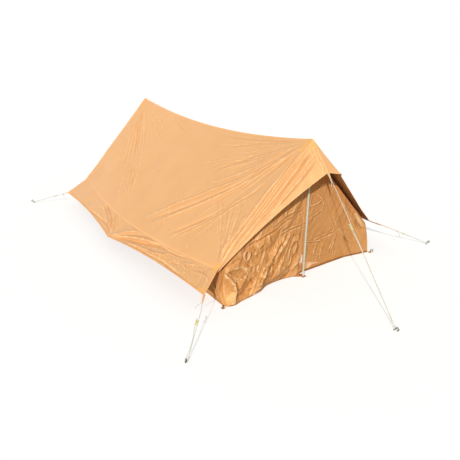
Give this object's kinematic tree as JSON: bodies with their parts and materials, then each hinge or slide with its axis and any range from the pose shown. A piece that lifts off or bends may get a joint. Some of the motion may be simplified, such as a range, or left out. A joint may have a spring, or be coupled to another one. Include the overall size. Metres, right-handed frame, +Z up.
{
  "type": "army tent",
  "caption": "Low two-man ridge tent: sagging nylon fly with hoods and skirts over an inner tent with a zipped two-leaf door, upright jointed poles, pegged guy lines with sliders.",
  "frame": {"origin": "on the ground at the middle of the floor, on the groundsheet's underside", "axes": "+Z up; the ridge runs along Y and the door faces -Y; +X is to the right of someone facing the door"},
  "size_m": [2.4823, 4.1485, 1.1674],
  "materials": {
    "fly_nylon": "thin woven nylon, coated inside, with a soft sheen and fine creases",
    "inner_nylon": "uncoated woven nylon, crumpled, with a soft sheen",
    "floor_nylon": "heavier coated nylon",
    "webbing": "flat woven tape",
    "cord": "braided off-white cord",
    "tube_aluminium": "drawn tube, dull with handling",
    "zinc_steel": "zinc-plated wire",
    "runner_plastic": "moulded, pale yellow"
  },
  "bodies": {
    "root": {"corner_tab_front_left": "webbing", "corner_tab_front_right": "webbing", "corner_tab_rear_left": "webbing", "corner_tab_rear_right": "webbing", "door_tie_left": "webbing", "door_tie_right": "webbing", "floor_peg_front_left": "zinc_steel", "floor_peg_front_right": "zinc_steel", "floor_peg_rear_left": "zinc_steel", "floor_peg_rear_right": "zinc_steel", "fly_hood_front": "fly_nylon", "fly_hood_rear": "fly_nylon", "fly_roof_left": "fly_nylon", "fly_roof_right": "fly_nylon", "fly_skirt_left": "fly_nylon", "fly_skirt_right": "fly_nylon", "front_pole_lower": "tube_aluminium", "front_pole_middle": "tube_aluminium", "front_pole_upper": "tube_aluminium", "groundsheet": "floor_nylon", "guy_line_front_left": "cord", "guy_line_front_ridge": "cord", "guy_line_front_right": "cord", "guy_line_rear_left": "cord", "guy_line_rear_ridge": "cord", "guy_line_rear_right": "cord", "guy_peg_front_left": "zinc_steel", "guy_peg_front_ridge": "zinc_steel", "guy_peg_front_right": "zinc_steel", "guy_peg_rear_left": "zinc_steel", "guy_peg_rear_ridge": "zinc_steel", "guy_peg_rear_right": "zinc_steel", "inner_front_left": "inner_nylon", "inner_front_right": "inner_nylon", "inner_rear_wall": "inner_nylon", "inner_roof_left": "inner_nylon", "inner_roof_right": "inner_nylon", "inner_wall_left": "inner_nylon", "inner_wall_right": "inner_nylon", "peak_cup_front": "webbing", "peak_cup_rear": "webbing", "rear_pole_lower": "tube_aluminium", "rear_pole_middle": "tube_aluminium", "rear_pole_upper": "tube_aluminium", "ridge_tab_front": "webbing", "ridge_tab_rear": "webbing"},
    "left_door": {"door_left": "inner_nylon"},
    "right_door": {"door_right": "inner_nylon"},
    "zip": {"zip_slider": "zinc_steel"},
    "tensioner_front_left": {"guy_tensioner_front_left": "runner_plastic"},
    "tensioner_front_right": {"guy_tensioner_front_right": "runner_plastic"},
    "tensioner_rear_left": {"guy_tensioner_rear_left": "runner_plastic"},
    "tensioner_rear_right": {"guy_tensioner_rear_right": "runner_plastic"},
    "tensioner_front_ridge": {"guy_tensioner_front_ridge": "runner_plastic"},
    "tensioner_rear_ridge": {"guy_tensioner_rear_ridge": "runner_plastic"}
  },
  "joints": [
    {"name": "door_left_swing", "type": "hinge", "parent": "root", "child": "left_door", "pos_m": [-0.483, -1.2471, 0], "axis": [0.4568, 0.0331, 0.889], "range_deg": [0, 100]},
    {"name": "door_right_swing", "type": "hinge", "parent": "root", "child": "right_door", "pos_m": [0.483, -1.2001, 0], "axis": [0.457, 0.0113, -0.8894], "range_deg": [0, 100]},
    {"name": "zip_slide", "type": "slide", "parent": "left_door", "child": "zip", "axis": [0, -0.0191, 0.9998], "range_m": [0, 0.75]},
    {"name": "tensioner_front_left_slide", "type": "slide", "parent": "root", "child": "tensioner_front_left", "axis": [0.665, 0.637, 0.3899], "range_m": [-0.186, 0.117]},
    {"name": "tensioner_front_right_slide", "type": "slide", "parent": "root", "child": "tensioner_front_right", "axis": [-0.8562, 0.298, 0.422], "range_m": [-0.219, 0.052]},
    {"name": "tensioner_rear_left_slide", "type": "slide", "parent": "root", "child": "tensioner_rear_left", "axis": [0.7583, -0.5901, 0.2772], "range_m": [-0.194, 0.067]},
    {"name": "tensioner_rear_right_slide", "type": "slide", "parent": "root", "child": "tensioner_rear_right", "axis": [-0.7583, -0.5901, 0.2772], "range_m": [-0.194, 0.067]},
    {"name": "tensioner_front_ridge_slide", "type": "slide", "parent": "root", "child": "tensioner_front_ridge", "axis": [0.0136, 0.6304, 0.7762], "range_m": [-0.602, 0.302]},
    {"name": "tensioner_rear_ridge_slide", "type": "slide", "parent": "root", "child": "tensioner_rear_ridge", "axis": [0, -0.6304, 0.7762], "range_m": [-0.602, 0.302]}
  ]
}
